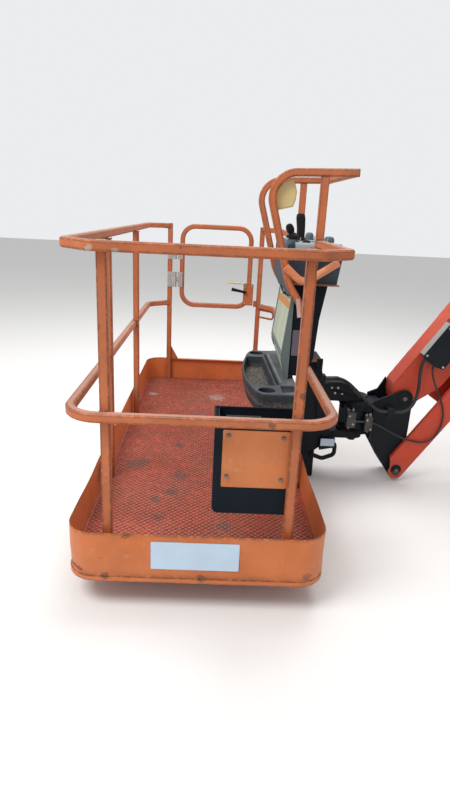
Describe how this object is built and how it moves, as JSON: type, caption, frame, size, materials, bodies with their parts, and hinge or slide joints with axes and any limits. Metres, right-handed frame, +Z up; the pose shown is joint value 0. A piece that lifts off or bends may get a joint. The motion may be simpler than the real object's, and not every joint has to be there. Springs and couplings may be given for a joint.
{
  "type": "boom lift work platform with jib",
  "caption": "Railed work platform with swing gate, toeboard, mesh deck and control console, on a rotator and a parallelogram jib with lift cylinder, ending in a bracket for a boom's pins",
  "frame": {"origin": "centre of the boom pin's bore in the bracket at the jib's upper end", "axes": "+X from the platform toward the boom, +Y along the platform toward its gate and along the pins, +Z up"},
  "size_m": [2.6668, 2.441, 1.9401],
  "materials": {
    "orange_paint": "worn gloss",
    "pale_orange_paint": "sun faded",
    "deck_paint": "worn, scuffed",
    "jib_paint": "gloss",
    "black_paint": "satin",
    "dark_plastic": "moulded",
    "black_plastic": "moulded",
    "grey_plastic": "moulded",
    "green_grey_plastic": "moulded",
    "cream_plastic": "yellowed",
    "yellow_zinc": "yellow zinc plated",
    "bare_steel": "zinc plated",
    "rod_chrome": "polished",
    "hose_rubber": "matt",
    "plate_white": "gloss"
  },
  "bodies": {
    "base": {"base_plates": "black_paint", "base_tubes": "black_paint", "base_pins": "bare_steel"},
    "jib_arm": {"jib_beam": "jib_paint", "jib_cover": "black_paint"},
    "lower_link": {"link_plate_near": "jib_paint", "link_plate_far": "jib_paint", "link_floor": "jib_paint"},
    "cylinder_barrel_body": {"cylinder_barrel": "black_paint"},
    "cylinder_rod_body": {"cylinder_rod": "rod_chrome"},
    "head": {"head_plates": "black_paint", "head_pins": "bare_steel", "rotator": "black_paint", "valve_block": "bare_steel", "hose_clamp": "black_paint", "hose_turn": "hose_rubber", "hose_jib": "hose_rubber", "cable_jib": "hose_rubber"},
    "platform": {"toeboard": "orange_paint", "floor_frame": "orange_paint", "floor_deck": "deck_paint", "top_rail": "orange_paint", "mid_rail": "orange_paint", "posts_near": "orange_paint", "posts_left": "orange_paint", "posts_right": "orange_paint", "posts_gate": "orange_paint", "corner_loop": "orange_paint", "hoop_rail": "pale_orange_paint", "guard_near": "orange_paint", "guard_far": "orange_paint", "guard_bars": "orange_paint", "guard_panel": "cream_plastic", "console_shelf": "orange_paint", "console_housing": "dark_plastic", "console_panel": "grey_plastic", "console_base": "dark_plastic", "controls": "black_plastic", "document_box": "green_grey_plastic", "tray": "dark_plastic", "storage_box": "dark_plastic", "storage_cover": "orange_paint", "latch_strip": "bare_steel", "near_plate": "plate_white", "floor_beams": "black_paint", "column": "black_paint", "top_arm": "black_paint", "bottom_arm": "black_paint", "loop_handle": "black_paint", "post_hinge": "bare_steel"},
    "gate": {"gate_frame": "orange_paint", "gate_hinge": "bare_steel", "latch_grip": "black_plastic", "latch_rod": "yellow_zinc"}
  },
  "joints": [
    {"name": "jib_lift", "type": "hinge", "parent": "base", "child": "jib_arm", "pos_m": [-0.15, 0, 0.33], "axis": [0, 1, 0], "range_deg": [-3.4, 121.6]},
    {"name": "link_swing", "type": "hinge", "parent": "base", "child": "lower_link", "pos_m": [-0.15, 0, -0.077], "axis": [0, 1, 0], "range_deg": [-3.4, 121.6]},
    {"name": "barrel_swing", "type": "hinge", "parent": "base", "child": "cylinder_barrel_body", "pos_m": [-0.07186, 0, -0.52016], "axis": [0, 1, 0], "range_deg": [-0.3, 7.2]},
    {"name": "rod_slide", "type": "slide", "parent": "cylinder_barrel_body", "child": "cylinder_rod_body", "axis": [-0.3876, 0, 0.9218], "range_m": [-0.006, 0.2135]},
    {"name": "head_level", "type": "hinge", "parent": "jib_arm", "child": "head", "pos_m": [-1.08582, 0, -1.08924], "axis": [0, 1, 0], "range_deg": [-121.6, 3.4], "deforming": ["hose_jib", "cable_jib"]},
    {"name": "platform_turn", "type": "hinge", "parent": "head", "child": "platform", "pos_m": [-1.31982, 0, -1.20924], "axis": [0, 0, 1], "range_deg": [-90, 90], "deforming": ["hose_turn"]},
    {"name": "gate_swing", "type": "hinge", "parent": "platform", "child": "gate", "pos_m": [-2.38432, 1.202, -0.67724], "axis": [0, 0, 1], "range_deg": [-90, 0]}
  ],
  "couplings": [
    {"joint": "link_swing", "follows": "jib_lift", "ratio": 1},
    {"joint": "head_level", "follows": "jib_lift", "ratio": -1},
    {"joint": "barrel_swing", "follows": "jib_lift", "ratio": 0.052},
    {"joint": "rod_slide", "follows": "jib_lift", "m_per_rad": 0.10027}
  ]
}
